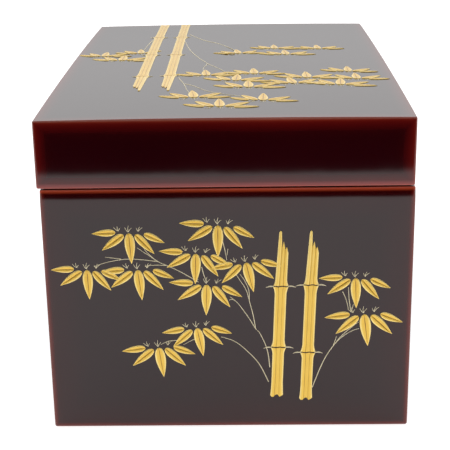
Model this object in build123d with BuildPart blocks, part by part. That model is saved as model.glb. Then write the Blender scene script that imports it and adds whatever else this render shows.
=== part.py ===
# Tea ceremony box: a long lacquered chest of finger-jointed boards with a flush
# lift-off lid, an inner rim that locates the lid, a lift-out tray that hangs on
# that rim, and raised gold bamboo on the front end and on the lid.
# Origin: middle of the base on the table. +Z up, the decorated end faces -Y.
# Lengths in millimetres, angles in degrees.

from build123d import *
from dataclasses import dataclass
from math import sqrt
import os

os.makedirs("parts", exist_ok=True)

# ---------------------------------------------------------------- the chest
box_width = 145.0        # across the decorated end, X
box_depth = 228.0        # from the decorated end to the back, Y
body_height = 102.5      # table to the seam under the lid
lid_height = 26.7        # seam to the four top corners of the lid
lid_crown = 1.8          # how far the middle of the lid stands above its corners
corner_radius = 1.6      # upright corners
foot_radius = 1.2        # outer edge that stands on the table
seam_bevel = 0.5         # edges that meet at the seam
lid_edge_bevel = 0.8     # edge round the lid's top

# ---------------------------------------------------------------- boards
wall = 6.0               # side boards of the body
bottom_board = 6.0
bottom_rabbet = 3.0      # how far the bottom board is let into the walls
lid_board = 6.0          # top board of the lid, at its corners
lid_tongue = 1.5         # step under the top board that drops between the lid's walls
body_fingers = 5
lid_fingers = 3

# ---------------------------------------------------------------- rim and lid fit
rim_thickness = 3.0
rim_drop = 20.0          # rim below the seam
rim_rise = 8.0           # rim above the seam, inside the lid
rim_round = 1.0          # lead-in along the rim's top
lid_overhang = 0.3       # lid stands this far past the body, all round
lid_play = 1.0           # between the rim and the lid's walls
lid_rest = -0.7          # the lid lies this far to the left within its play

# ---------------------------------------------------------------- tray
tray_play = 1.0          # between the tray and the rim
tray_wall = 4.0
tray_bottom = 3.5
tray_rabbet = 2.0
tray_hang = 26.0         # tray below the rim's top
tray_rise = 8.0          # tray above the rim's top
tray_corner = 1.5
tray_round = 0.8
tray_fingers = 3
hanger_width = 3.4       # ledge that rests on the rim
hanger_height = 3.0

# ---------------------------------------------------------------- pegs
peg_size = 2.2           # square pegs
peg_length = 15.0
peg_play = 0.05          # on each side of a peg
peg_end_play = 0.4       # behind its end

# ---------------------------------------------------------------- raised gold
relief = 0.3             # how far the gold stands above the lacquer
panel_margin = 1.6       # bare edge kept round the gold on the lid
culm_width = 6.0         # at a node
culm_waist = 4.6         # between two nodes
culm_flare = 0.11        # share of a length that widens towards each node
node_gap = 0.5           # bare line between two lengths of culm
leaf_facets = 4          # straight facets along each side of a leaf
leaf_belly = 1 / 3       # where a leaf is broadest, as a share of the way to its point
foot_crowding = 1.5      # above 1 the facets lie closer together near the foot
cut_over = 1.0           # cutters run this far past the wood

# ---------------------------------------------------------------- derived
rim_top = body_height + rim_rise
rim_reach_x = box_width / 2 - wall
rim_reach_y = box_depth / 2 - wall
lid_wall = wall + lid_overhang - lid_play
lid_width = box_width + 2 * lid_overhang
lid_depth = box_depth + 2 * lid_overhang
lid_side = lid_height - lid_board
lid_corner_top = body_height + lid_height
half_diagonal_squared = (lid_width / 2) ** 2 + (lid_depth / 2) ** 2
crown_radius = (half_diagonal_squared + lid_crown**2) / (2 * lid_crown)
crown_centre = (lid_rest, 0, lid_corner_top + lid_crown - crown_radius)
tray_reach_x = rim_reach_x - rim_thickness - tray_play
tray_reach_y = rim_reach_y - rim_thickness - tray_play
tray_foot = rim_top - tray_hang
tray_height = tray_hang + tray_rise
peg_hole = (peg_size + 2 * peg_play, peg_size + 2 * peg_play, peg_length + peg_end_play)


@dataclass
class Frame:
    # four boards that cross at their corners in equal fingers
    width: float
    depth: float
    wall: float
    foot: float
    height: float
    fingers: int
    middle_x: float = 0.0

    @property
    def pitch(self):
        return self.height / self.fingers

    def finger_middle(self, number):
        return self.foot + (number + 0.5) * self.pitch


body_frame = Frame(box_width, box_depth, wall, 0, body_height, body_fingers)
lid_frame = Frame(lid_width, lid_depth, lid_wall, body_height, lid_side, lid_fingers, lid_rest)
tray_frame = Frame(
    2 * tray_reach_x, 2 * tray_reach_y, tray_wall, tray_foot, tray_height, tray_fingers
)


def keep(builder, name):
    # labels a finished piece and writes it
    builder.part.label = name
    export_step(builder.part, f"parts/{name}.step")


def finger_board(name, form, frame, side):
    # One board of a hollow frame. The front and back boards hold the first, third
    # and fifth corner fingers, and the side boards hold the others.
    across = side in ("front", "back")
    sign = -1 if side in ("front", "left") else 1
    reach = (frame.depth if across else frame.width) / 2
    other_reach = (frame.width if across else frame.depth) / 2
    slab = frame.wall + cut_over
    slab_middle = sign * (reach - frame.wall + slab / 2)
    span = 2 * (other_reach + cut_over)
    tall = frame.height + 2 * cut_over
    corner_at = reach - frame.wall / 2
    block = frame.wall + cut_over
    block_middle = other_reach - frame.wall + block / 2
    lost = range(1 if across else 0, frame.fingers, 2)
    with BuildPart() as board:
        add(form)
        slab_at = (frame.middle_x, slab_middle) if across else (frame.middle_x + slab_middle, 0)
        with Locations((*slab_at, frame.foot + frame.height / 2)):
            if across:
                Box(span, slab, tall, mode=Mode.INTERSECT)
            else:
                Box(slab, span, tall, mode=Mode.INTERSECT)
        for number in lost:
            for end in (-1, 1):
                if across:
                    at = (frame.middle_x + end * block_middle, sign * corner_at)
                    size = (block, frame.wall + 2 * cut_over)
                else:
                    at = (frame.middle_x + sign * corner_at, end * block_middle)
                    size = (frame.wall + 2 * cut_over, block)
                with Locations((*at, frame.finger_middle(number))):
                    Box(*size, frame.pitch, mode=Mode.SUBTRACT)
    keep(board, name)


def peg_places(frame):
    # One peg through every corner finger into the end of the board behind it,
    # as planes on the outer faces that look inwards.
    places = []
    for number in range(frame.fingers):
        height = frame.finger_middle(number)
        for sx in (-1, 1):
            for sy in (-1, 1):
                if number % 2 == 0:
                    at = (sx * (frame.width - frame.wall) / 2, sy * frame.depth / 2)
                    inwards = (0, -sy, 0)
                else:
                    at = (sx * frame.width / 2, sy * (frame.depth - frame.wall) / 2)
                    inwards = (-sx, 0, 0)
                origin = (frame.middle_x + at[0], at[1], height)
                places.append(Plane(origin=origin, x_dir=(0, 0, 1), z_dir=inwards))
    return places


def mitred_strip(name, side, foot, height, reach_x, reach_y, thickness, rounding):
    # One of four strips that meet in mitres. Its outer face lies at the reach, and
    # the outer edge of its top is rounded.
    turn = {"front": 0, "right": 90, "back": 180, "left": 270}[side]
    along, out = (reach_x, reach_y) if side in ("front", "back") else (reach_y, reach_x)
    with BuildPart() as strip:
        with BuildSketch(Plane.XY.offset(foot).rotated((0, 0, turn))):
            Polygon(
                (-along, -out),
                (along, -out),
                (along - thickness, thickness - out),
                (thickness - along, thickness - out),
                align=None,
            )
        extrude(amount=height)
        top = strip.faces().sort_by(Axis.Z)[-1]
        fillet(top.edges().sort_by(SortBy.LENGTH)[-1], rounding)
    keep(strip, name)


# ---------------------------------------------------------------- body
with BuildPart() as body_outer:
    with BuildSketch():
        RectangleRounded(box_width, box_depth, corner_radius)
    extrude(amount=body_height)
    fillet(body_outer.faces().sort_by(Axis.Z)[0].edges(), foot_radius)
    chamfer(body_outer.faces().sort_by(Axis.Z)[-1].edges(), seam_bevel)

with BuildPart() as body_form:
    add(body_outer.part)
    with BuildSketch():
        Rectangle(box_width - 2 * wall, box_depth - 2 * wall)
    extrude(amount=body_height, mode=Mode.SUBTRACT)
    with BuildSketch():
        Rectangle(
            box_width - 2 * (wall - bottom_rabbet), box_depth - 2 * (wall - bottom_rabbet)
        )
    extrude(amount=bottom_board, mode=Mode.SUBTRACT)
    with Locations(*peg_places(body_frame)):
        Box(*peg_hole, align=(Align.CENTER, Align.CENTER, Align.MIN), mode=Mode.SUBTRACT)

with BuildPart() as bottom:
    with BuildSketch():
        Rectangle(
            box_width - 2 * (wall - bottom_rabbet), box_depth - 2 * (wall - bottom_rabbet)
        )
    extrude(amount=bottom_board)
keep(bottom, "body_bottom_board")

for side in ("front", "back", "left", "right"):
    finger_board(f"body_{side}_board", body_form.part, body_frame, side)
    mitred_strip(
        f"rim_{side}_strip",
        side,
        body_height - rim_drop,
        rim_drop + rim_rise,
        rim_reach_x,
        rim_reach_y,
        rim_thickness,
        rim_round,
    )

with BuildPart() as body_pegs:
    with Locations(*peg_places(body_frame)):
        Box(peg_size, peg_size, peg_length, align=(Align.CENTER, Align.CENTER, Align.MIN))
    add(body_outer.part, mode=Mode.INTERSECT)
keep(body_pegs, "body_corner_pegs")

# ---------------------------------------------------------------- tray
with BuildPart() as tray_form:
    with BuildSketch(Plane.XY.offset(tray_foot)):
        RectangleRounded(tray_frame.width, tray_frame.depth, tray_corner)
    extrude(amount=tray_height)
    fillet(tray_form.faces().sort_by(Axis.Z)[-1].edges(), tray_round)
    with BuildSketch(Plane.XY.offset(tray_foot)):
        Rectangle(tray_frame.width - 2 * tray_wall, tray_frame.depth - 2 * tray_wall)
    extrude(amount=tray_height, mode=Mode.SUBTRACT)
    with BuildSketch(Plane.XY.offset(tray_foot)):
        Rectangle(
            tray_frame.width - 2 * (tray_wall - tray_rabbet),
            tray_frame.depth - 2 * (tray_wall - tray_rabbet),
        )
    extrude(amount=tray_bottom, mode=Mode.SUBTRACT)

with BuildPart() as tray_floor:
    with BuildSketch(Plane.XY.offset(tray_foot)):
        Rectangle(
            tray_frame.width - 2 * (tray_wall - tray_rabbet),
            tray_frame.depth - 2 * (tray_wall - tray_rabbet),
        )
    extrude(amount=tray_bottom)
keep(tray_floor, "tray_bottom_board")

for side in ("front", "back", "left", "right"):
    finger_board(f"tray_{side}_board", tray_form.part, tray_frame, side)
    mitred_strip(
        f"tray_{side}_hanger",
        side,
        rim_top,
        hanger_height,
        tray_reach_x + hanger_width,
        tray_reach_y + hanger_width,
        hanger_width,
        tray_round,
    )

# ---------------------------------------------------------------- lid
lid_foot = Plane(origin=(lid_rest, 0, body_height))
lid_seat = lid_foot.offset(lid_side)

with BuildPart() as lid_outer:
    with BuildSketch(lid_foot):
        RectangleRounded(lid_width, lid_depth, corner_radius)
    extrude(amount=lid_side)
    chamfer(lid_outer.faces().sort_by(Axis.Z)[0].edges(), seam_bevel)

with BuildPart() as lid_form:
    add(lid_outer.part)
    with BuildSketch(lid_foot):
        Rectangle(lid_width - 2 * lid_wall, lid_depth - 2 * lid_wall)
    extrude(amount=lid_side, mode=Mode.SUBTRACT)
    with Locations(*peg_places(lid_frame)):
        Box(*peg_hole, align=(Align.CENTER, Align.CENTER, Align.MIN), mode=Mode.SUBTRACT)

for side in ("front", "back", "left", "right"):
    finger_board(f"lid_{side}_board", lid_form.part, lid_frame, side)

with BuildPart() as lid_pegs:
    with Locations(*peg_places(lid_frame)):
        Box(peg_size, peg_size, peg_length, align=(Align.CENTER, Align.CENTER, Align.MIN))
    add(lid_outer.part, mode=Mode.INTERSECT)
keep(lid_pegs, "lid_corner_pegs")

# The top board is planed to a shallow crown, a cap of one large ball, and its
# tongue drops between the four walls.
with BuildPart() as lid_top:
    with BuildSketch(lid_seat):
        RectangleRounded(lid_width, lid_depth, corner_radius)
    extrude(amount=lid_board + lid_crown + cut_over)
    with Locations(crown_centre):
        Sphere(crown_radius, rotation=(90, 0, 0), mode=Mode.INTERSECT)
    chamfer(lid_top.faces().sort_by(Axis.Z)[-1].edges(), lid_edge_bevel)
    with BuildSketch(lid_seat):
        Rectangle(lid_width - 2 * lid_wall, lid_depth - 2 * lid_wall)
    extrude(amount=-lid_tongue)
keep(lid_top, "lid_top_board")

# ---------------------------------------------------------------- raised gold bamboo
# A spray is five leaves that hang from one twig. Each line gives where a leaf
# starts, where its point lies and how broad it is, seen from the middle leaf's foot.
spray_leaves = (
    ((0.0, 0.1), (0.9, -12.6), 4.0),
    ((-2.1, -0.5), (-10.8, -6.9), 3.3),
    ((-5.2, 0.4), (-14.5, -0.2), 2.9),
    ((2.5, -0.4), (9.8, -8.4), 3.3),
    ((5.9, -0.1), (14.0, -3.8), 2.8),
)
# Where each spray's middle leaf starts, how far the spray is turned, and its size.
front_sprays = (
    (-38.5, 84.1, -1, 1.00),
    (-3.8, 87.0, -5, 1.04),
    (-12.6, 75.4, -6, 1.00),
    (7.0, 71.5, 9, 1.00),
    (-55.6, 69.0, -2, 0.98),
    (-35.6, 68.8, 1, 1.01),
    (-8.6, 62.4, -5, 1.03),
    (-12.8, 43.8, 6, 0.98),
    (-28.4, 35.4, 4, 1.03),
    (50.0, 64.6, -2, 1.00),
    (53.7, 49.2, 3, 1.09),
)
lid_sprays = (
    (-12.6, -80.8, 182, 1.03),
    (-1.9, -96.7, 178, 1.06),
    (15.1, -86.8, 174, 0.98),
    (-8.8, -38.4, 181, 0.98),
    (12.2, -35.8, 179, 0.98),
    (4.0, -49.4, 173, 1.06),
    (9.5, -63.1, 178, 1.08),
    (34.9, -44.9, 178, 1.04),
    (28.7, -56.0, 186, 1.00),
    (53.7, -31.6, 177, 0.90),
    (56.2, -47.2, 178, 0.96),
    (48.0, -59.2, 172, 1.06),
    (5.2, 14.0, 186, 0.87),
    (22.6, 26.6, 178, 0.88),
    (27.8, 10.3, 181, 0.97),
    (44.0, 25.6, 182, 0.87),
    (-59.4, 12.2, 174, 0.92),
    (-42.2, 18.2, 182, 0.90),
    (-49.8, 0.2, 175, 1.07),
)
# Where each culm starts, its turn, its lean, how high its nodes are and how long it is.
front_culms = (
    (18.9, 13.5, 0, 2.1, (21.8, 48.0), 71.2),
    (30.7, 12.0, 0, 2.1, (21.0, 50.0), 72.7),
)
lid_culms = (
    (-36.5, 122.0, 180, 0.15, (56.3, 109.0, 160.6), 189.2),
    (-24.9, 122.0, 180, 0.0, (56.8, 109.4, 159.6), 189.5),
)
# The cut foot of a culm in two lobes, from left to right.
cut_foot = (
    (-2.6, 0.6),
    (-1.5, -0.7),
    (-0.1, 1.5),
    (1.2, -0.3),
    (2.6, 0.8),
)
# The torn top of a culm, from right to left: how far across and how far below its tip.
torn_top = (
    (2.4, 9.3),
    (1.8, 6.7),
    (1.2, 7.8),
    (0.5, 4.4),
    (-0.1, 7.0),
    (-0.4, 0.5),
    (-0.9, 0.0),
    (-1.4, 0.7),
)


def leaf_blade(foot, point, breadth):
    # Half the breadth goes as the root of the way out times the way left to go, so
    # the foot is blunt, the belly lies a third of the way out and the end is a point.
    along = point - foot
    side = Vector(-along.Y, along.X).normalized() * breadth / 2
    fullest = sqrt(leaf_belly) * (1 - leaf_belly)
    left_side, right_side = [], []
    for number in range(1, leaf_facets):
        way = (number / leaf_facets) ** foot_crowding
        swell = sqrt(way) * (1 - way) / fullest
        left_side.append(foot + along * way + side * swell)
        right_side.append(foot + along * way - side * swell)
    with BuildSketch() as blade:
        Polygon(foot, *right_side, point, *reversed(left_side), align=None)
    return blade.sketch


def spray(size):
    with BuildSketch() as leaves:
        for foot, point, breadth in spray_leaves:
            add(leaf_blade(Vector(*foot) * size, Vector(*point) * size, breadth * size))
    return leaves.sketch


def culm(lean, nodes, length):
    # The lengths of one culm from its cut foot to its torn top, drawn upright and
    # then leaned over. Each length widens towards the nodes at its ends.
    edge, waist = culm_width / 2, culm_waist / 2
    top = nodes[0] - node_gap / 2
    narrow = top - culm_flare * top
    with BuildSketch() as stalk:
        Polygon(*cut_foot, (waist, narrow), (edge, top), (-edge, top), (-waist, narrow), align=None)
        for low, high in zip(nodes, nodes[1:]):
            foot, top = low + node_gap / 2, high - node_gap / 2
            flare = culm_flare * (top - foot)
            right_side = [(edge, foot), (waist, foot + flare), (waist, top - flare), (edge, top)]
            left_side = [(-across, up) for across, up in reversed(right_side)]
            Polygon(*right_side, *left_side, align=None)
        foot = nodes[-1] + node_gap / 2
        flare = culm_flare * (length - foot)
        tear = [(across, length - below) for across, below in torn_top]
        shoulders = [(-waist, foot + flare), (-edge, foot), (edge, foot), (waist, foot + flare)]
        Polygon(*shoulders, *tear, align=None)
    return stalk.sketch.rotate(Axis.Z, -lean)


def draw_culms(culms):
    with BuildSketch() as drawing:
        for x, y, turn, lean, nodes, length in culms:
            with Locations(Location((x, y, 0), (0, 0, turn))):
                add(culm(lean, nodes, length))
    return drawing.sketch


def draw_leaves(sprays, culms):
    # the leaves stop at the culms, so that no gold lies on gold
    with BuildSketch() as drawing:
        for x, y, turn, size in sprays:
            with Locations(Location((x, y, 0), (0, 0, turn))):
                add(spray(size))
        add(culms, mode=Mode.SUBTRACT)
    return drawing.sketch


def front_relief(name, drawing):
    with BuildPart() as raised:
        with BuildSketch(Plane.XZ.offset(box_depth / 2)):
            add(drawing)
        extrude(amount=relief)
    keep(raised, name)


def crown_plane(x, y):
    # the plane that touches the lid's crown at this place of the lid drawing
    away = Vector(x, y, sqrt(crown_radius**2 - x**2 - y**2)).normalized()
    touch = Vector(*crown_centre) + away * crown_radius
    return Plane(origin=touch, x_dir=Vector(0, 1, 0).cross(away), z_dir=away)


def lid_plates(name, drawing):
    # Small pieces: each is a flat plate that rests on the crown under its middle.
    with BuildPart() as raised:
        for piece in drawing.faces():
            middle = piece.center()
            with BuildSketch(crown_plane(middle.X, middle.Y)):
                add(piece.moved(Location((-middle.X, -middle.Y, 0))))
        extrude(amount=relief)
    keep(raised, name)


def lid_skin(name, drawing):
    # Long pieces: they are cut from a skin as thick as the gold that follows the
    # crown, inside a bare edge.
    with BuildPart() as raised:
        with BuildSketch(lid_foot.offset(lid_height)):
            add(drawing)
            panel = (lid_width - 2 * panel_margin, lid_depth - 2 * panel_margin)
            Rectangle(*panel, mode=Mode.INTERSECT)
        extrude(amount=lid_crown + cut_over)
        with Locations(crown_centre):
            Sphere(crown_radius + relief, rotation=(90, 0, 0), mode=Mode.INTERSECT)
            Sphere(crown_radius, rotation=(90, 0, 0), mode=Mode.SUBTRACT)
    keep(raised, name)


front_culm_drawing = draw_culms(front_culms)
lid_culm_drawing = draw_culms(lid_culms)
front_relief("front_gold_culms", front_culm_drawing)
front_relief("front_gold_leaves", draw_leaves(front_sprays, front_culm_drawing))
lid_skin("lid_gold_culms", lid_culm_drawing)
lid_plates("lid_gold_leaves", draw_leaves(lid_sprays, lid_culm_drawing))
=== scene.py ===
import bmesh
import bpy
import math
from mathutils import Matrix, Vector


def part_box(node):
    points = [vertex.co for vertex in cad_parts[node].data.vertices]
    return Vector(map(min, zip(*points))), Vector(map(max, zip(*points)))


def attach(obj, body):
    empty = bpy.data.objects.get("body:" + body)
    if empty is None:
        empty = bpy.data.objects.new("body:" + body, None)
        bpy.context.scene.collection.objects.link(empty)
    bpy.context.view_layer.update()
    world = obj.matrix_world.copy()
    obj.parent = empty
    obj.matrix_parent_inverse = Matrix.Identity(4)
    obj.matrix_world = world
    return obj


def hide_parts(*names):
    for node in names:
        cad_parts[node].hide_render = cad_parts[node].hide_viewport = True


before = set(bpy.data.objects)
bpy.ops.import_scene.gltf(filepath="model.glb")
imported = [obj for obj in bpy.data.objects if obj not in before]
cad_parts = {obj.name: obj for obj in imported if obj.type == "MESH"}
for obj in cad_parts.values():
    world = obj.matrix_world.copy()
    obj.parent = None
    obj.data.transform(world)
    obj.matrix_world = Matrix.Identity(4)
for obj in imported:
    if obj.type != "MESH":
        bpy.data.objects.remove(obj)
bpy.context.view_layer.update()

# Tea ceremony box: wine lacquer shells, raised gold bamboo and a satin black inside,
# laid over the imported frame. Metres, the same frame as the CAD.
mm = 0.001
print("frame loaded,", len(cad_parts), "nodes")


def span(*nodes):
    # box round several CAD nodes
    boxes = [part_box(node) for node in nodes]
    low = Vector([min(b[0][i] for b in boxes) for i in range(3)])
    high = Vector([max(b[1][i] for b in boxes) for i in range(3)])
    return low, high


sides = ("front", "back", "left", "right")
bodyBoards = ["body_bottom_board"] + [f"body_{side}_board" for side in sides]
lidBoards = ["lid_top_board"] + [f"lid_{side}_board" for side in sides]
bodyLow, bodyHigh = span(*bodyBoards)
lidLow, lidHigh = span(*lidBoards)
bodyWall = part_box("body_front_board")[1].y - bodyLow.y
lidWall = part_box("lid_front_board")[1].y - lidLow.y
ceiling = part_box("lid_top_board")[0].z
lidMiddle = (lidLow + lidHigh) / 2
crown = 1.8 * mm            # rise of the lid's top above its corners
lidCorner = Vector((lidHigh.x, lidHigh.y, lidHigh.z - crown))


def placed(name, data):
    # a new object in the scene
    thing = bpy.data.objects.new(name, data)
    bpy.context.scene.collection.objects.link(thing)
    return thing


viewpoint = {
    "place": (0.0076, -0.5411, 0.2306),
    "azimuth": -1.151,      # degrees, 0 looks along +Y
    "drop": 18.553,         # degrees below level
    "roll": -0.914,
    "focal": 1162.9,        # pixels of a 450 pixel frame
    "frame": 450,
}


def makeCamera(v):
    azimuth, drop, roll = (math.radians(v[key]) for key in ("azimuth", "drop", "roll"))
    level = Vector((math.sin(azimuth), math.cos(azimuth), 0))
    ahead = level * math.cos(drop) - Vector((0, 0, math.sin(drop)))
    right = Vector((math.cos(azimuth), -math.sin(azimuth), 0))
    up = right.cross(ahead)
    rolledRight = right * math.cos(roll) + up * math.sin(roll)
    rolledUp = up * math.cos(roll) - right * math.sin(roll)
    data = bpy.data.cameras.new("camera")
    data.sensor_width = 36
    data.lens = v["focal"] / v["frame"] * data.sensor_width
    data.clip_start, data.clip_end = 0.01, 50
    camera = placed("camera", data)
    turn = Matrix((rolledRight, rolledUp, -ahead)).transposed().to_4x4()
    camera.matrix_world = Matrix.Translation(v["place"]) @ turn
    bpy.context.scene.camera = camera


def wire(tree, start, end):
    tree.links.new(start, end)


def fill(tree, node, inputs):
    # a value is set on its socket, and another node's socket is linked to it
    for label, value in inputs.items():
        if isinstance(value, (int, float, tuple, Vector)):
            node.inputs[label].default_value = value
        else:
            wire(tree, value, node.inputs[label])
    return node


def made(tree, kind, inputs):
    return fill(tree, tree.nodes.new(kind), inputs)


def mathNode(tree, operation, *values, clamp=False):
    node = made(tree, "ShaderNodeMath", dict(enumerate(values)))
    node.operation = operation
    node.use_clamp = clamp
    return node.outputs[0]


def vectorNode(tree, operation, *vectors):
    node = made(tree, "ShaderNodeVectorMath", dict(enumerate(vectors)))
    node.operation = operation
    return node.outputs[0]


def axes(tree, vector):
    return made(tree, "ShaderNodeSeparateXYZ", {0: vector}).outputs


def noise(tree, place, scale, detail):
    node = made(tree, "ShaderNodeTexNoise", {"Vector": place, "Scale": scale, "Detail": detail})
    return node.outputs["Fac"]


def mixed(tree, factor, first, second):
    inputs = {0: factor, 1: first.outputs[0], 2: second.outputs[0]}
    return made(tree, "ShaderNodeMixShader", inputs).outputs[0]


def span01(tree, value, low, high, start=0, end=1):
    # maps a value from start to end onto the range from low to high
    inputs = {"Value": value, "From Min": start, "From Max": end, "To Min": low, "To Max": high}
    return made(tree, "ShaderNodeMapRange", inputs).outputs["Result"]


def easedStep(tree, value, low, high):
    node = made(tree, "ShaderNodeMapRange", {"Value": value, "From Min": low, "From Max": high})
    node.interpolation_type = "SMOOTHSTEP"
    return node.outputs["Result"]


def ramp(tree, factor, stops):
    node = made(tree, "ShaderNodeValToRGB", {"Fac": factor})
    tones = node.color_ramp.elements
    while len(tones) < len(stops):
        tones.new(0.5)
    for tone, (place, colour) in zip(tones, stops):
        tone.position = place
        tone.color = (*colour, 1)
    return node.outputs["Color"]


studio = {
    "dome": 1.75,           # radiance of the white studio overhead
    "farWall": 0.55,        # and low down behind the box, seen in the lid
    "wallTop": 0.33,        # the sine of the height at which it is fully bright
    "zenith": 0.24,         # share of the brightness that is left straight overhead
    "zenithFrom": 0.5,
    "room": 0.008,          # the dark room behind the camera
    "roomTurn": (0.25, 0.55),           # it fades in towards the camera
    "roomTop": (0.34, 0.6),             # and fades out upwards
    "background": 1.3,      # what the camera sees past the floor
    "floorTone": 0.88,
    "floorGlow": 0.66,      # light that comes through the white sheet
    "sheetEnd": -0.485,     # the white sheet ends here, in front of the box
    "sheetFade": 0.01,
    "floorReach": 6,
}


def makeSky(s):
    world = bpy.data.worlds.new("studio")
    bpy.context.scene.world = world
    world.use_nodes = True
    tree = world.node_tree
    tree.nodes.clear()
    out = tree.nodes.new("ShaderNodeOutputWorld")
    way = axes(tree, tree.nodes.new("ShaderNodeTexCoord").outputs["Generated"])
    toRoom = easedStep(tree, mathNode(tree, "MULTIPLY", way["Y"], -1), *s["roomTurn"])
    low = mathNode(tree, "SUBTRACT", 1, easedStep(tree, way["Z"], *s["roomTop"]))
    dark = mathNode(tree, "MULTIPLY", toRoom, low)
    wall = span01(tree, way["Z"], s["farWall"], s["dome"], end=s["wallTop"])
    overhead = span01(tree, way["Z"], 1, s["zenith"], start=s["zenithFrom"])
    bright = mathNode(tree, "MULTIPLY", mathNode(tree, "SUBTRACT", 1, dark), overhead)
    glow = mathNode(tree, "MULTIPLY", wall, bright)
    lit = made(tree, "ShaderNodeBackground", {
        "Strength": mathNode(tree, "MAXIMUM", glow, s["room"]),
    })
    plain = made(tree, "ShaderNodeBackground", {"Strength": s["background"]})
    seen = tree.nodes.new("ShaderNodeLightPath").outputs["Is Camera Ray"]
    wire(tree, mixed(tree, seen, lit, plain), out.inputs["Surface"])


def makeFloor(s):
    # a white sheet in every direct view, dark past its front edge in reflections
    material = bpy.data.materials.new("sheet")
    material.use_nodes = True
    tree = material.node_tree
    tree.nodes.clear()
    out = tree.nodes.new("ShaderNodeOutputMaterial")
    way = axes(tree, tree.nodes.new("ShaderNodeTexCoord").outputs["Object"])
    end, fade = s["sheetEnd"], s["sheetFade"]
    onSheet = easedStep(tree, way["Y"], end - fade, end + fade)
    seen = tree.nodes.new("ShaderNodeLightPath").outputs["Is Camera Ray"]
    shown = mathNode(tree, "MAXIMUM", onSheet, seen)
    tone, dark = s["floorTone"], s["room"]
    white = made(tree, "ShaderNodeBsdfDiffuse", {"Color": (tone, tone, tone, 1)})
    glow = made(tree, "ShaderNodeEmission", {"Strength": s["floorGlow"]})
    whole = made(tree, "ShaderNodeAddShader", {0: white.outputs[0], 1: glow.outputs[0]})
    black = made(tree, "ShaderNodeBsdfDiffuse", {"Color": (dark, dark, dark, 1)})
    wire(tree, mixed(tree, shown, black, whole), out.inputs["Surface"])
    reach = s["floorReach"]
    mesh = bpy.data.meshes.new("floor")
    corners = [(-reach, -reach, 0), (reach, -reach, 0), (reach, reach, 0), (-reach, reach, 0)]
    mesh.from_pydata(corners, [], [(0, 1, 2, 3)])
    mesh.materials.append(material)
    placed("floor", mesh)


makeCamera(viewpoint)
makeSky(studio)
makeFloor(studio)
bpy.context.scene.view_settings.view_transform = "Standard"
print("camera and studio")


def newGroup(name, inputs, outputs):
    # an input given by three numbers is a vector, and all other sockets are floats
    group = bpy.data.node_groups.new(name, "ShaderNodeTree")
    for label, value in inputs.items():
        kind = "NodeSocketVector" if isinstance(value, tuple) else "NodeSocketFloat"
        socket = group.interface.new_socket(name=label, in_out="INPUT", socket_type=kind)
        socket.default_value = value
    for label in outputs:
        group.interface.new_socket(name=label, in_out="OUTPUT", socket_type="NodeSocketFloat")
    return group, group.nodes.new("NodeGroupInput"), group.nodes.new("NodeGroupOutput")


surface = {
    "driftScale": 55,       # uneven rubbing along an edge
    "dustSize": 0.06,       # share of its cell that a speck fills
    "dustLift": 0.02,       # and how far it stands up in the waves
    "hazeScale": 18,
    "toneScale": 9,
}


def edgeDepthGroup():
    # how far a point lies from the nearest edge of a block, 0 on the edge and 1 at the reach
    group, given, result = newGroup("edgeDepth", {
        "Place": (0, 0, 0),
        "Middle": (0, 0, 0),
        "Half Size": (0.1, 0.1, 0.1),
        "Reach": 0.012,
        "Unevenness": 0.2,
    }, ["Depth"])
    shift = vectorNode(group, "SUBTRACT", given.outputs["Place"], given.outputs["Middle"])
    fold = vectorNode(group, "ABSOLUTE", shift)
    x, y, z = axes(group, vectorNode(group, "SUBTRACT", given.outputs["Half Size"], fold))
    total = mathNode(group, "ADD", mathNode(group, "ADD", x, y), z)
    most = mathNode(group, "MAXIMUM", mathNode(group, "MAXIMUM", x, y), z)
    least = mathNode(group, "MINIMUM", mathNode(group, "MINIMUM", x, y), z)
    second = mathNode(group, "SUBTRACT", mathNode(group, "SUBTRACT", total, most), least)
    drift = noise(group, given.outputs["Place"], surface["driftScale"], 3)
    drifted = mathNode(group, "SUBTRACT", drift, 0.5)
    sway = mathNode(group, "MULTIPLY", drifted, given.outputs["Unevenness"])
    share = mathNode(group, "DIVIDE", second, given.outputs["Reach"])
    wavy = mathNode(group, "MULTIPLY", share, mathNode(group, "ADD", sway, 1))
    kept = mathNode(group, "MAXIMUM", wavy, 0)
    wire(group, mathNode(group, "MINIMUM", kept, 1), result.inputs["Depth"])
    return group


def handPolishGroup():
    # slow waves that a hand-rubbed lacquer keeps, and the few specks of dust that lie in it
    group, given, result = newGroup("handPolish", {
        "Place": (0, 0, 0),
        "Wave Scale": 40.0,
        "Speck Scale": 600.0,
    }, ["Height", "Haze", "Tone"])
    place = given.outputs["Place"]
    wave = noise(group, place, given.outputs["Wave Scale"], 2)
    speck = made(group, "ShaderNodeTexVoronoi", {
        "Vector": place,
        "Scale": given.outputs["Speck Scale"],
    })
    dot = mathNode(group, "LESS_THAN", speck.outputs["Distance"], surface["dustSize"])
    lift = mathNode(group, "MULTIPLY", dot, surface["dustLift"])
    wire(group, mathNode(group, "ADD", wave, lift), result.inputs["Height"])
    wire(group, noise(group, place, surface["hazeScale"], 4), result.inputs["Haze"])
    wire(group, noise(group, place, surface["toneScale"], 2), result.inputs["Tone"])
    return group


def goldPowderGroup():
    # sprinkled metal powder: fine grain, and slow changes where it lies thicker
    group, given, result = newGroup("goldPowder", {
        "Place": (0, 0, 0),
        "Grain Scale": 2600.0,
        "Drift Scale": 130.0,
    }, ["Grain", "Drift"])
    place = given.outputs["Place"]
    wire(group, noise(group, place, given.outputs["Grain Scale"], 4), result.inputs["Grain"])
    wire(group, noise(group, place, given.outputs["Drift Scale"], 3), result.inputs["Drift"])
    return group


edgeDepth = edgeDepthGroup()
handPolish = handPolishGroup()
goldPowder = goldPowderGroup()


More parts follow.
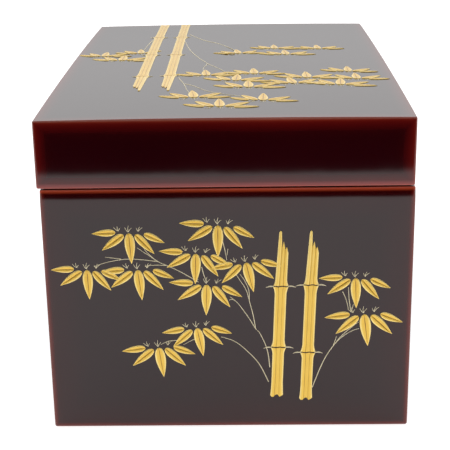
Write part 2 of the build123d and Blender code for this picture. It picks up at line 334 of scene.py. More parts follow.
def newMaterial(name):
    material = bpy.data.materials.new(name)
    material.use_nodes = True
    tree = material.node_tree
    place = tree.nodes.new("ShaderNodeTexCoord").outputs["Object"]
    return material, tree, tree.nodes["Principled BSDF"], place


def useGroup(tree, group, place, values):
    node = tree.nodes.new("ShaderNodeGroup")
    node.node_tree = group
    return fill(tree, node, {"Place": place, **values}).outputs


def bump(tree, height, shader, strength, distance):
    inputs = {"Height": height, "Strength": strength, "Distance": distance}
    node = made(tree, "ShaderNodeBump", inputs)
    wire(tree, node.outputs["Normal"], shader.inputs["Normal"])


def blend(tree, kind, factor, first, second):
    node = tree.nodes.new("ShaderNodeMix")
    node.data_type = "RGBA"
    node.blend_type = kind
    return fill(tree, node, {"Factor": factor, "A": first, "B": second}).outputs["Result"]


wineLook = {
    "reach": 14 * mm,       # how far in from an edge the red still shows
    "unevenness": 0.35,
    "bodyTones": [          # from the thin lacquer on an edge to its full depth
        (0.0, (0.21, 0.06, 0.045)),
        (0.043, (0.16, 0.03, 0.022)),
        (0.071, (0.13, 0.015, 0.010)),
        (0.10, (0.086, 0.005, 0.004)),
        (0.15, (0.038, 0.0006, 0.0006)),
        (0.21, (0.028, 0.0005, 0.0012)),
        (0.31, (0.024, 0.0004, 0.0016)),
        (0.60, (0.0215, 0.0004, 0.0018)),
        (1.0, (0.0155, 0.0004, 0.0018)),
    ],
    "lidTones": [           # the lid's edges have been rubbed thinner, and further in
        (0.0, (0.32, 0.09, 0.06)),
        (0.04, (0.19, 0.02, 0.010)),
        (0.07, (0.13, 0.008, 0.005)),
        (0.12, (0.098, 0.004, 0.003)),
        (0.18, (0.078, 0.0026, 0.0026)),
        (0.28, (0.050, 0.0014, 0.0022)),
        (0.40, (0.025, 0.0006, 0.0018)),
        (0.57, (0.0215, 0.0005, 0.0020)),
        (1.0, (0.0205, 0.0004, 0.0022)),
    ],
    "bodyLipSheen": (0.25, 0.04, 0.012),     # more red along the joint of body and lid: a painted highlight of the rounded lip, reddened like the thin lacquer there
    # painted reflection of the pale floor along the lid's lower lip
    "lidLipSheen": (0.11, 0.025, 0.025),
    # the painted highlight and reflection fade out between these distances from the joint
    "lipSheenReach": (1.0 * mm, 2.4 * mm),
    "clouds": [(0.3, (0.86, 0.86, 0.88)), (0.7, (1.1, 1.05, 1.05))],
    "roughness": (0.035, 0.07),
    "ior": 1.5,
    "waves": 0.05,
    "waveDepth": 0.6 * mm,
}


def wineLacquer(name, low, high, look, tones, lip):
    # translucent wine lacquer over vermilion, redder where it has run thin, with a painted highlight
    # and a painted reflection added along the joint of body and lid
    material, tree, shader, place = newMaterial(name)
    middle, half = (low + high) / 2, (high - low) / 2
    depth = useGroup(tree, edgeDepth, place, {
        "Middle": middle,
        "Half Size": half,
        "Reach": look["reach"],
        "Unevenness": look["unevenness"],
    })["Depth"]
    polish = useGroup(tree, handPolish, place, {})
    upFromJoint = mathNode(tree, "SUBTRACT", axes(tree, place)["Z"], bodyHigh.z)
    fromJoint = mathNode(tree, "ABSOLUTE", upFromJoint)
    # painted highlight and reflection near the joint, added to the lacquer's tone
    lipSheenMask = mathNode(tree, "SUBTRACT", 1, easedStep(tree, fromJoint, *look["lipSheenReach"]))
    toneWithLipSheen = blend(tree, "ADD", lipSheenMask, ramp(tree, depth, tones), (*lip, 1))
    cloud = ramp(tree, polish["Tone"], look["clouds"])
    fill(tree, shader, {
        "Base Color": blend(tree, "MULTIPLY", 1, toneWithLipSheen, cloud),
        "Roughness": span01(tree, polish["Haze"], *look["roughness"]),
        "IOR": look["ior"],
    })
    bump(tree, polish["Height"], shader, look["waves"], look["waveDepth"])
    return material


innerLook = {
    "tones": [(0.3, (0.010, 0.006, 0.006)), (0.7, (0.018, 0.010, 0.009))],
    "roughness": (0.2, 0.32),
    "waves": 0.2,
    "waveDepth": 0.5 * mm,
}


def innerLacquer(look):
    # plainer black lacquer inside, with the marks of a broad brush
    material, tree, shader, place = newMaterial("innerLacquer")
    polish = useGroup(tree, handPolish, place, {"Wave Scale": 90.0, "Speck Scale": 900.0})
    fill(tree, shader, {
        "Base Color": ramp(tree, polish["Tone"], look["tones"]),
        "Roughness": span01(tree, polish["Haze"], *look["roughness"]),
    })
    bump(tree, polish["Height"], shader, look["waves"], look["waveDepth"])
    return material


goldLook = {
    "tones": [              # from the vein that is left low to the rim of the leaf
        (0.0, (0.22, 0.10, 0.012)),
        (0.12, (0.42, 0.23, 0.03)),
        (0.3, (0.79, 0.48, 0.055)),
        (0.6, (0.87, 0.57, 0.09)),
        (1.0, (0.95, 0.74, 0.27)),
    ],
    "metallic": 0.7,
    "sealed": 0.5,          # the thin clear lacquer over the gold
    "sealRoughness": 0.15,
    "drift": 0.35,          # how much the gold's tone changes where the powder lies thicker
    "roughness": (0.36, 0.5),
    "grain": 0.25,
    "grainDepth": 0.05 * mm,
}
lineLook = {
    "tones": [(0.0, (0.66, 0.58, 0.37)), (1.0, (0.90, 0.80, 0.56))],
    "metallic": 0.4,
    "sealed": 0.2,
    "sealRoughness": 0.15,
    "drift": 0.35,
    "roughness": (0.38, 0.52),
    "grain": 0.2,
    "grainDepth": 0.04 * mm,
}


def goldRelief(name, look, attribute):
    # gold powder; the named attribute says how high the gold was built up
    material, tree, shader, place = newMaterial(name)
    powder = useGroup(tree, goldPowder, place, {})
    if attribute:
        built = tree.nodes.new("ShaderNodeAttribute")
        built.attribute_name = attribute
        level = built.outputs["Fac"]
    else:
        level = powder["Drift"]
    drift = mathNode(tree, "SUBTRACT", powder["Drift"], 0.5)
    drift = mathNode(tree, "MULTIPLY", drift, look["drift"])
    level = mathNode(tree, "ADD", level, drift, clamp=True)
    fill(tree, shader, {
        "Base Color": ramp(tree, level, look["tones"]),
        "Metallic": look["metallic"],
        "Coat Weight": look["sealed"],
        "Coat Roughness": look["sealRoughness"],
        "Roughness": span01(tree, powder["Grain"], *look["roughness"]),
    })
    bump(tree, powder["Grain"], shader, look["grain"], look["grainDepth"])
    return material


bodyTones, lidTones = wineLook["bodyTones"], wineLook["lidTones"]
bodyWine = wineLacquer("bodyWine", bodyLow, bodyHigh, wineLook, bodyTones, wineLook["bodyLipSheen"])
lidWine = wineLacquer("lidWine", lidLow, lidCorner, wineLook, lidTones, wineLook["lidLipSheen"])
blackInside = innerLacquer(innerLook)
gold = goldRelief("raisedGold", goldLook, "built")
goldLine = goldRelief("goldLine", lineLook, "")
print("materials")


shellCut = {
    "corner": 0.9 * mm,     # upright corners
    "cornerSteps": 8,
    "leastRadius": 0.4 * mm,
    "roll": 0.05 * mm,      # the flat sides fall away this much near every edge
    "rollWidth": 7 * mm,
    "lipRoll": 0.165 * mm,  # and this much towards the body's mouth
    "foot": 0.9 * mm,
    "gap": (0.58 * mm, 0.04 * mm),      # the groove of the dark line, in the body and in the lid; its faces carry black lacquer as painted shade
    "gapDepth": 1.4 * mm,
    "seam": 0.5 * mm,
    "topEdge": 0.6 * mm,
    "edgeSteps": 6,
    "stations": (0, 0.006, 0.015, 0.03, 0.05, 0.08, 0.12, 0.2, 0.35, 0.6, 1),
    "nearEnds": (0.5, 1.2, 2.2, 3.6, 5.4, 8),       # rows up a wall, mm from either end
    "topRings": (0.6, 1.4, 2.6, 4.4, 7, 12, 20, 32, 46, 60, 69),    # mm in from the edge
    "underRings": (60 * mm, 20 * mm, 3 * mm),
    "heart": 60 * mm,       # the last ring before a flat face closes
    "beside": 2 * mm,       # rings beside and above an inner corner
    "above": 1 * mm,
}
middleShares = (0.3, 0.5, 0.7)
halfDiagonal = math.hypot(lidHigh.x - lidLow.x, lidHigh.y - lidLow.y) / 2
crownRadius = (halfDiagonal**2 + crown**2) / (2 * crown)


def crownRise(x, y):
    # height of the lid's crown over its corners, from the middle of the lid
    return math.sqrt(crownRadius**2 - x * x - y * y) - crownRadius + crown


def fallOff(distance, cut, most="roll"):
    return cut[most] * max(0, 1 - distance / cut["rollWidth"]) ** 2


def ringPoints(halfX, halfY, radius, cut):
    # one turn round a rounded rectangle, anticlockwise, with sides that fall away at the ends
    points = []
    roll = cut["roll"]
    for number in range(4):
        angle = math.radians(90 * number - 90)
        out = Vector((math.cos(angle), math.sin(angle)))
        along = Vector((-out.y, out.x))
        reach, other = (halfY, halfX) if number % 2 == 0 else (halfX, halfY)
        length = other - roll - radius
        places = [length * (1 - s) for s in cut["stations"]]
        for place in [-p for p in places] + places[-2::-1]:
            points.append(out * (reach - fallOff(length - abs(place), cut)) + along * place)
        heart = out * (reach - roll - radius) + along * length
        for step in range(1, cut["cornerSteps"]):
            turn = angle + math.radians(90 * step / cut["cornerSteps"])
            points.append(heart + Vector((math.cos(turn), math.sin(turn))) * radius)
    return points


def lacquerShell(name, low, high, rings, cut, materials):
    # rings are (inset, height, share of the crown, material); the first and last are closed
    mesh = bpy.data.meshes.new(name)
    work = bmesh.new()
    middle = (low + high) / 2
    halfX, halfY = (high.x - low.x) / 2, (high.y - low.y) / 2
    loops = []
    for inset, height, share, _ in rings:
        radius = max(cut["corner"] - inset, cut["leastRadius"])
        loop = []
        for point in ringPoints(halfX - inset, halfY - inset, radius, cut):
            rise = share * crownRise(point.x, point.y)
            loop.append(work.verts.new((point.x + middle.x, point.y + middle.y, height + rise)))
        loops.append(loop)
    for number in range(len(loops) - 1):
        first, second = loops[number], loops[number + 1]
        for k in range(len(first)):
            following = (k + 1) % len(first)
            face = work.faces.new((first[k], first[following], second[following], second[k]))
            face.material_index = rings[number + 1][3]
            face.smooth = True
    for loop, kind in ((loops[0], rings[0][3]), (loops[-1], rings[-1][3])):
        face = work.faces.new(loop)
        face.material_index = kind
        face.smooth = True
    bmesh.ops.recalc_face_normals(work, faces=work.faces)
    work.to_mesh(mesh)
    work.free()
    for material in materials:
        mesh.materials.append(material)
    return placed(name, mesh)


def quarter(radius, steps):
    # (sideways, up) along a quarter round, from its foot to its crown
    for step in range(steps + 1):
        turn = math.radians(90 * step / steps)
        yield radius * (1 - math.sin(turn)), radius * (1 - math.cos(turn))


def wallHeights(low, high, cut):
    # closer together near both ends, where the wall falls away
    near = [s * mm for s in cut["nearEnds"]]
    middle = [low + (high - low) * s for s in middleShares]
    inner = [h for h in middle if low + near[-1] < h < high - near[-1]]
    return [low + s for s in near] + inner + [high - s for s in near[::-1]]


def bodyShell(cut):
    low, high = bodyLow, bodyHigh
    wine, black = 0, 1
    rings = [(inset, low.z, 0, black) for inset in cut["underRings"]]
    outer = [(inset, low.z + up) for inset, up in quarter(cut["foot"], cut["edgeSteps"])]
    mouth = high.z - cut["gap"][0]
    lip = list(quarter(cut["seam"], cut["edgeSteps"]))
    outer += [(0, z) for z in wallHeights(low.z + cut["foot"], mouth - cut["seam"], cut)]
    outer += [(inset, mouth - up) for inset, up in reversed(lip)]
    for inset, z in outer:
        fall = fallOff(z - low.z, cut) + fallOff(mouth - z, cut, "lipRoll")
        rings.append((inset + fall, z, 0, wine))
    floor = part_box("body_bottom_board")[1].z
    groove = cut["seam"] + cut["gapDepth"]
    # the groove's floor and back take the black lacquer, painted shade that darkens the line
    rings += [(groove, mouth, 0, black), (groove, high.z, 0, black), (bodyWall, high.z, 0, wine)]
    inside = (high.z - cut["above"], floor + cut["above"], floor)
    rings += [(bodyWall, z, 0, black) for z in inside]
    rings += [(bodyWall + cut["beside"], floor, 0, black), (cut["heart"], floor, 0, black)]
    shell = lacquerShell("bodyLacquer", low, high, rings, cut, (bodyWine, blackInside))
    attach(shell, "box_body")
    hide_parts(*bodyBoards, "body_corner_pegs")


def lidShell(cut):
    low, high = lidLow, lidCorner
    wine, black = 0, 1
    insets = (cut["heart"], lidWall + cut["beside"], lidWall)
    rings = [(inset, ceiling, 0, black) for inset in insets]
    inside = (ceiling - cut["above"], low.z + cut["above"], low.z)
    rings += [(lidWall, z, 0, black) for z in inside]
    groove, lower = cut["seam"] + cut["gapDepth"], low.z + cut["gap"][1]
    # the back of the groove takes the black lacquer, painted shade that darkens the line
    rings += [(groove, low.z, 0, wine), (groove, lower, 0, black)]
    outer = [(inset, lower + up) for inset, up in quarter(cut["seam"], cut["edgeSteps"])]
    outer += [(0, z) for z in wallHeights(lower + cut["seam"], high.z - cut["topEdge"], cut)]
    edge = list(quarter(cut["topEdge"], cut["edgeSteps"]))
    outer += [(inset, high.z - up) for inset, up in reversed(edge)]
    for inset, z in outer:
        fall = fallOff(z - low.z, cut) + fallOff(high.z - z, cut)
        rings.append((inset + fall, z, (z - low.z) / (high.z - low.z), wine))
    for step in cut["topRings"]:
        inset = cut["topEdge"] + step * mm
        rings.append((inset, high.z - fallOff(inset, cut) / 2, 1, wine))
    shell = lacquerShell("lidLacquer", low, high, rings, cut, (lidWine, blackInside))
    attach(shell, "lid")
    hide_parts(*lidBoards, "lid_corner_pegs")


bodyShell(shellCut)
lidShell(shellCut)
print("lacquer shells")


innerNodes = [f"rim_{side}_strip" for side in sides] + ["tray_bottom_board"]
innerNodes += [f"tray_{side}_board" for side in sides] + [f"tray_{side}_hanger" for side in sides]
for node in innerNodes:
    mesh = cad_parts[node].data
    mesh.materials.clear()
    mesh.materials.append(blackInside)
print("rim and tray")


# Drawings lie in a plane: across, up, and height over the lacquer, in millimetres.
spray = {
    "leaves": (             # foot, point and breadth, seen from the middle leaf's foot
        ((0.0, 0.1), (0.9, -12.6), 4.0),
        ((-2.1, -0.5), (-10.8, -6.9), 3.3),
        ((-5.2, 0.4), (-14.5, -0.2), 2.9),
        ((2.5, -0.4), (9.8, -8.4), 3.3),
        ((5.9, -0.1), (14.0, -3.8), 2.8),
    ),
    "tufts": (              # root of each tuft of buds and the way its hairs point
        ((-0.2, 0.6), ((-1.3, 1.9), (0.1, 2.6), (1.3, 1.7))),
        ((-4.0, 1.0), ((-1.8, 1.5), (-0.5, 2.0), (0.7, 1.2))),
        ((3.7, 0.9), ((-0.7, 1.4), (0.6, 1.9), (1.7, 1.6))),
    ),
    "hair": 0.13,           # radius of a hair
    "bow": 0.08,            # and how far it bends, as a share of its length
}
frontDrawing = {
    "hidden": (),
    "tendril": 3.2,         # hairs that run out from a node of a culm
    "sprays": (             # foot of the middle leaf, turn in degrees, size
        (-38.5, 84.1, -1, 1.00),
        (-3.8, 87.0, -5, 1.04),
        (-12.6, 75.4, -6, 1.00),
        (7.0, 71.5, 9, 1.00),
        (-55.6, 69.0, -2, 0.98),
        (-35.6, 68.8, 1, 1.01),
        (-8.6, 62.4, -5, 1.03),
        (-12.8, 43.8, 6, 0.98),
        (-28.4, 35.4, 4, 1.03),
        (50.0, 64.6, -2, 1.00),
        (53.7, 49.2, 3, 1.09),
    ),
    "culms": (              # foot, turn, lean, heights of the nodes, length
        ((18.9, 13.5), 0, 2.1, (21.8, 48.0), 71.2),
        ((30.7, 12.0), 0, 2.1, (21.0, 50.0), 72.7),
    ),
    "stems": (              # heft, then the places it runs through
        (0.34, ((15.7, 20.0), (11.8, 28.2), (6.4, 34.5), (1.8, 38.2), (-3.2, 40.0))),
        (0.26, ((-10.6, 40.2), (-15.0, 38.6), (-18.5, 36.6))),
        (0.26, ((-19.5, 38.6), (-24.0, 38.4), (-27.6, 36.8))),
        (0.34, ((16.2, 26.5), (15.6, 32.0), (14.5, 36.4), (12.3, 41.4), (11.2, 42.7))),
        (0.3, ((10.9, 43.0), (7.3, 49.1), (3.6, 54.5), (0.5, 57.3))),
        (0.26, ((2.6, 55.6), (1.4, 56.2), (0.2, 55.8))),
        (0.3, ((10.6, 43.6), (9.6, 49.5), (8.4, 54.5), (7.0, 60.0), (4.4, 64.5), (2.6, 67.3))),
        (0.26, ((8.2, 56.0), (8.0, 60.0), (6.4, 64.0), (4.6, 66.8))),
        (0.3, ((-11.8, 63.6), (-19.1, 68.2), (-24.5, 70.9), (-27.3, 72.3), (-35.5, 78.2))),
        (0.26, ((-28.3, 72.8), (-31.8, 76.4), (-33.6, 79.4))),
        (0.28, ((-27.3, 72.3), (-33.6, 73.2), (-40.0, 73.5), (-47.3, 72.3), (-52.7, 70.5))),
        (0.24, ((-42.0, 73.6), (-46.4, 74.2), (-48.2, 74.4))),
        (0.26, ((-24.5, 70.7), (-28.5, 70.9), (-32.7, 70.5))),
        (0.3, ((-2.6, 82.5), (-1.4, 78.0), (-0.5, 72.7))),
        (0.26, ((0.0, 77.4), (-0.4, 74.8))),
        (0.3, ((-10.4, 70.0), (-9.6, 66.5), (-8.6, 63.8))),
        (0.34, ((33.4, 17.4), (35.9, 24.5), (39.1, 31.8), (43.6, 38.2), (48.2, 41.8), (51.8, 43.2))),
        (0.3, ((40.6, 34.2), (44.6, 39.8), (49.5, 44.4), (51.6, 46.0))),
        (0.26, ((41.6, 35.8), (42.3, 37.8), (42.9, 40.0))),
        (0.3, ((48.4, 50.5), (47.6, 56.0), (47.3, 60.9))),
        (0.26, ((45.0, 59.1), (46.4, 55.8), (47.4, 51.6))),
        (0.26, ((48.6, 50.6), (49.4, 53.8))),
    ),
}
lidDrawing = {
    "hidden": ((17, 2),),   # leaves that the culms cover: spray, leaf
    "tendril": 1.9,
    "sprays": (
        (-12.6, -80.8, 182, 1.03),
        (-1.9, -96.7, 178, 1.06),
        (15.1, -86.8, 174, 0.98),
        (-8.8, -38.4, 181, 0.98),
        (12.2, -35.8, 179, 0.98),
        (4.0, -49.4, 173, 1.06),
        (9.5, -63.1, 178, 1.08),
        (34.9, -44.9, 178, 1.04),
        (28.7, -56.0, 186, 1.00),
        (53.7, -31.6, 177, 0.90),
        (56.2, -47.2, 178, 0.96),
        (48.0, -59.2, 172, 1.06),
        (5.2, 14.0, 186, 0.87),
        (22.6, 26.6, 178, 0.88),
        (27.8, 10.3, 181, 0.97),
        (44.0, 25.6, 182, 0.87),
        (-59.4, 12.2, 174, 0.92),
        (-42.2, 18.2, 182, 0.90),
        (-49.8, 0.2, 175, 1.07),
    ),
    "culms": (
        ((-36.5, 112.8), 180, 0.15, (47.1, 99.8, 151.4), 180.0),
        ((-24.9, 112.8), 180, 0.0, (47.6, 100.2, 150.4), 180.3),
    ),
    "stems": (
        (0.34, ((-21.4, 75.5), (-12.7, 54.4), (-5.3, 43.6), (0.3, 30.9), (3.4, 21.5), (5.2, 14.8))),
        (0.34, ((-22.3, 51.0), (-18.8, 25.4), (-13.9, 4.2),
                (-9.5, -10.8), (-10.8, -23.1), (-9.0, -37.6))),
        (0.3, ((-9.5, -10.8), (-5.3, -19.5), (-1.0, -30.5), (3.9, -48.6))),
        (0.34, ((-20.8, -42.5), (-17.7, -56.4), (-15.8, -68.5), (-12.7, -80.0))),
        (0.3, ((-17.4, -55.0), (-13.9, -58.9), (-6.5, -70.6), (4.5, -78.4), (15.0, -86.0))),
        (0.34, ((-38.8, 62.4), (-40.6, 44.2), (-41.6, 28.4), (-42.2, 19.0))),
    ),
}
cutFoot = ((-2.6, 0.6), (-1.5, -0.7), (-0.1, 1.5), (1.2, -0.3), (2.6, 0.8))
goldCut = {
    "relief": 0.3,          # the gold stands this far above the lacquer
    "sink": 0.15,           # and goes this far into it
    "leafRows": 12,
    "rowCrowding": 1.5,     # above 1 the rows lie closer together near the foot
    "veinEnds": (0.08, 0.12),           # the vein fades out at the foot and at the point
    "veinWidth": 0.2,
    "tip": (0.4, 0.9),      # height and gold level of a leaf's foot and point
    "sunkLevel": 0.8,       # gold level below the outline
    "sway": 0.02,           # radians that a leaf may turn by chance
    "culmWidth": 6.0,
    "culmWaist": 4.6,
    "culmFlare": 0.11,      # share of a length that widens towards each node
    "nodeGap": 0.5,
    "flarePower": 1.6,
    "footRise": 2.4,        # first row over the cut foot
    "nodeWave": 0.13,       # height, turn and start of the wave at a node
    "waveTurn": 2.1,
    "waveStart": 0.4,
    "tendrilHeft": (0.2, 0.32, 0.12),   # radii from root to end
    "tendrilRoot": 0.46,    # share of the culm's width
    "tendrilRise": 0.05,
    "tendrilDrop": 0.45,
    "stemHeft": 0.56,       # radius of a stem of heft 1
    "lineStep": 0.6,
    "lineThinning": 0.35,
    "lineSides": 8,
}


def swell(way):
    # half breadth along a leaf: blunt foot, belly a third of the way out, sharp point
    return math.sqrt(way) * (1 - way) / (math.sqrt(1 / 3) * 2 / 3)


leafSection = (             # across, height and gold level, from the middle vein out
    (0.0, 0.35, 0.0),
    (0.05, 0.42, 0.08),
    (0.12, 0.76, 0.4),
    (0.4, 0.86, 0.45),
    (0.66, 0.9, 0.6),
    (0.83, 0.95, 1.0),
    (1.0, 0.4, 0.9),
)


def closeRelief(work, outline, level, sink, cut):
    # walls and floor under an open relief whose edge is the outline
    floor = [work.verts.new((v.co.x, v.co.y, -sink)) for v in outline]
    for v in floor:
        v[level] = cut["sunkLevel"]
    for k in range(len(outline)):
        following = (k + 1) % len(outline)
        wallFace = work.faces.new((outline[k], floor[k], floor[following], outline[following]))
        wallFace.smooth = False
        wallFace.edges[0].smooth = False
    work.faces.new(floor[::-1]).smooth = False
    for k in range(len(outline)):
        edge = work.edges.get((outline[k], outline[(k + 1) % len(outline)]))
        if edge:
            edge.smooth = False


def leafDie(cut):
    # one leaf, 1 long, 1 broad and 1 high, which the spray tree stamps out
    work = bmesh.new()
    level = work.verts.layers.float.new("built")
    columns = [(-a, h, g) for a, h, g in leafSection[:0:-1]] + list(leafSection)
    flat = leafSection[3]
    nearFoot, nearPoint = cut["veinEnds"]
    rows = []
    for number in range(1, cut["leafRows"]):
        way = (number / cut["leafRows"]) ** cut["rowCrowding"]
        veined = min(1, way / nearFoot) * min(1, (1 - way) / nearPoint)
        row = []
        for across, height, tone in columns:
            if abs(across) < cut["veinWidth"]:
                height = flat[1] + (height - flat[1]) * veined
                tone = flat[2] + (tone - flat[2]) * veined
            v = work.verts.new((way, across * swell(way) / 2, height))
            v[level] = tone
            row.append(v)
        rows.append(row)
    for lower, upper in zip(rows, rows[1:]):
        for k in range(len(columns) - 1):
            work.faces.new((lower[k], upper[k], upper[k + 1], lower[k + 1])).smooth = True
    height, tone = cut["tip"]
    foot, point = work.verts.new((0, 0, height)), work.verts.new((1, 0, height))
    foot[level], point[level] = tone, tone
    for k in range(len(columns) - 1):
        work.faces.new((foot, rows[0][k], rows[0][k + 1])).smooth = True
        work.faces.new((point, rows[-1][k + 1], rows[-1][k])).smooth = True
    outline = [foot] + [row[0] for row in rows] + [point] + [row[-1] for row in rows[::-1]]
    closeRelief(work, outline, level, cut["sink"] / cut["relief"], cut)
    bmesh.ops.recalc_face_normals(work, faces=work.faces)
    mesh = bpy.data.meshes.new("leafDie")
    work.to_mesh(mesh)
    work.free()
    return placed("leafDie", mesh)


def turned(point, degrees):
    angle = math.radians(degrees)
    return Vector((
        point[0] * math.cos(angle) - point[1] * math.sin(angle),
        point[0] * math.sin(angle) + point[1] * math.cos(angle),
    ))


def newTree(name, inputs):
    tree = bpy.data.node_groups.new(name, "GeometryNodeTree")
    tree.interface.new_socket(name="Geometry", in_out="INPUT", socket_type="NodeSocketGeometry")
    for label, kind, value in inputs:
        socket = tree.interface.new_socket(name=label, in_out="INPUT", socket_type=kind)
        if value is not None:
            socket.default_value = value
    tree.interface.new_socket(name="Geometry", in_out="OUTPUT", socket_type="NodeSocketGeometry")
    return tree, tree.nodes.new("NodeGroupInput"), tree.nodes.new("NodeGroupOutput")


def named(tree, name):
    node = tree.nodes.new("GeometryNodeInputNamedAttribute")
    node.data_type = "FLOAT"
    node.inputs["Name"].default_value = name
    return node.outputs["Attribute"]


def endTree(tree, geometry, material, result):
    realize = made(tree, "GeometryNodeRealizeInstances", {0: geometry})
    paint = made(tree, "GeometryNodeSetMaterial", {
        "Geometry": realize.outputs[0],
        "Material": material,
    })
    wire(tree, paint.outputs[0], result.inputs["Geometry"])


def stampTree():
    # stamps the leaf die on every point, turned and drawn out by the point's attributes
    tree, given, result = newTree("stampLeaves", [
        ("Leaf", "NodeSocketObject", None),
        ("Relief", "NodeSocketFloat", 0.3),
        ("Sway", "NodeSocketFloat", 0.03),
        ("Seed", "NodeSocketInt", 5),
        ("Gold", "NodeSocketMaterial", None),
    ])
    leaf = made(tree, "GeometryNodeObjectInfo", {"Object": given.outputs["Leaf"]})
    points = made(tree, "GeometryNodeMeshToPoints", {"Mesh": given.outputs["Geometry"]})
    sway = given.outputs["Sway"]
    chance = tree.nodes.new("FunctionNodeRandomValue")
    chance.data_type = "FLOAT"
    fill(tree, chance, {
        "Seed": given.outputs["Seed"],
        2: mathNode(tree, "MULTIPLY", sway, -1),
        3: sway,
    })
    swing = mathNode(tree, "ADD", named(tree, "swing"), chance.outputs[1])
    angle = made(tree, "ShaderNodeCombineXYZ", {"Z": swing})
    size = made(tree, "ShaderNodeCombineXYZ", {
        "X": named(tree, "reach"),
        "Y": named(tree, "breadth"),
        "Z": given.outputs["Relief"],
    })
    stamp = made(tree, "GeometryNodeInstanceOnPoints", {
        "Points": points.outputs[0],
        "Instance": leaf.outputs["Geometry"],
        "Rotation": angle.outputs[0],
        "Scale": size.outputs[0],
    })
    endTree(tree, stamp.outputs[0], given.outputs["Gold"], result)
    return tree


def strokeTree():
    # draws every polyline as a smooth raised line that thins out towards its end
    tree, given, result = newTree("drawLines", [
        ("Step", "NodeSocketFloat", 0.8),
        ("Thinning", "NodeSocketFloat", 0.5),
        ("Sides", "NodeSocketInt", 8),
        ("Gold", "NodeSocketMaterial", None),
    ])
    curve = made(tree, "GeometryNodeMeshToCurve", {"Mesh": given.outputs["Geometry"]})
    smooth = made(tree, "GeometryNodeCurveSplineType", {"Curve": curve.outputs[0]})
    smooth.spline_type = "CATMULL_ROM"
    steps = tree.nodes.new("GeometryNodeResampleCurve")
    steps.mode = "LENGTH"
    fill(tree, steps, {"Curve": smooth.outputs[0], "Length": given.outputs["Step"]})
    along = tree.nodes.new("GeometryNodeSplineParameter").outputs["Factor"]
    square = mathNode(tree, "MULTIPLY", along, along)
    lost = mathNode(tree, "MULTIPLY", square, given.outputs["Thinning"])
    thin = mathNode(tree, "SUBTRACT", 1, lost)
    heft = mathNode(tree, "MULTIPLY", named(tree, "heft"), thin)
    line = made(tree, "GeometryNodeSetCurveRadius", {"Curve": steps.outputs[0], "Radius": heft})
    profile = made(tree, "GeometryNodeCurvePrimitiveCircle", {
        "Radius": 1,
        "Resolution": given.outputs["Sides"],
    })
    tube = made(tree, "GeometryNodeCurveToMesh", {
        "Curve": line.outputs[0],
        "Profile Curve": profile.outputs[0],
        "Scale": tree.nodes.new("GeometryNodeInputRadius").outputs[0],
        "Fill Caps": True,
    })
    endTree(tree, tube.outputs[0], given.outputs["Gold"], result)
    return tree


def runTree(source, tree, values, name):
    # evaluates the tree on a source mesh and keeps the result as a plain mesh
    holder = placed(name, source)
    modifier = holder.modifiers.new("make", "NODES")
    modifier.node_group = tree
    for item in tree.interface.items_tree:
        if item.in_out == "INPUT" and item.name in values:
            modifier[item.identifier] = values[item.name]
    graph = bpy.context.evaluated_depsgraph_get()
    result = bpy.data.meshes.new_from_object(holder.evaluated_get(graph))
    holder.modifiers.remove(modifier)
    holder.data = result
    result.name = name
    return holder


def onFront(x, z, height):
    # a point of the front drawing, laid on the body's front face
    low, high = bodyLow, bodyHigh
    fall = fallOff(z - low.z, shellCut) + fallOff(high.z - z, shellCut, "lipRoll")
    side = high.x - shellCut["corner"] - shellCut["roll"] - abs(x)
    fall += fallOff(max(0, side), shellCut)
    return Vector((x, low.y + fall - height, z))


def onLid(x, y, height):
    # a point of the lid drawing, laid on its crown
    edge = min(lidHigh.x - lidMiddle.x - abs(x), lidHigh.y - abs(y))
    top = lidCorner.z + crownRise(x, y) - fallOff(max(0, edge), shellCut) / 2
    return Vector((x + lidMiddle.x, y, top + height))


def layDown(piece, surface):
    for v in piece.data.vertices:
        v.co = surface(v.co.x * mm, v.co.y * mm, v.co.z * mm)
    piece.data.update()
    work = bmesh.new()
    work.from_mesh(piece.data)
    bmesh.ops.recalc_face_normals(work, faces=work.faces)
    work.to_mesh(piece.data)
    work.free()


def makeLeaves(name, drawing, tree, die, cut, seed):
    feet, swings, reaches, breadths = [], [], [], []
    for number, (x, y, turn, size) in enumerate(drawing["sprays"]):
        for place, (foot, point, breadth) in enumerate(spray["leaves"]):
            if (number, place) in drawing["hidden"]:
                continue
            start = turned(foot, turn) * size
            way = turned(point, turn) * size - start
            feet.append((x + start.x, y + start.y, 0))
            swings.append(math.atan2(way.y, way.x))
            reaches.append(way.length)
            breadths.append(breadth * size)
    points = bpy.data.meshes.new(name)
    points.from_pydata(feet, [], [])
    for label, values in (("swing", swings), ("reach", reaches), ("breadth", breadths)):
        points.attributes.new(label, "FLOAT", "POINT").data.foreach_set("value", values)
    return runTree(points, tree, {
        "Leaf": die,
        "Relief": cut["relief"],
        "Sway": cut["sway"],
        "Seed": seed,
        "Gold": gold,
    }, name)


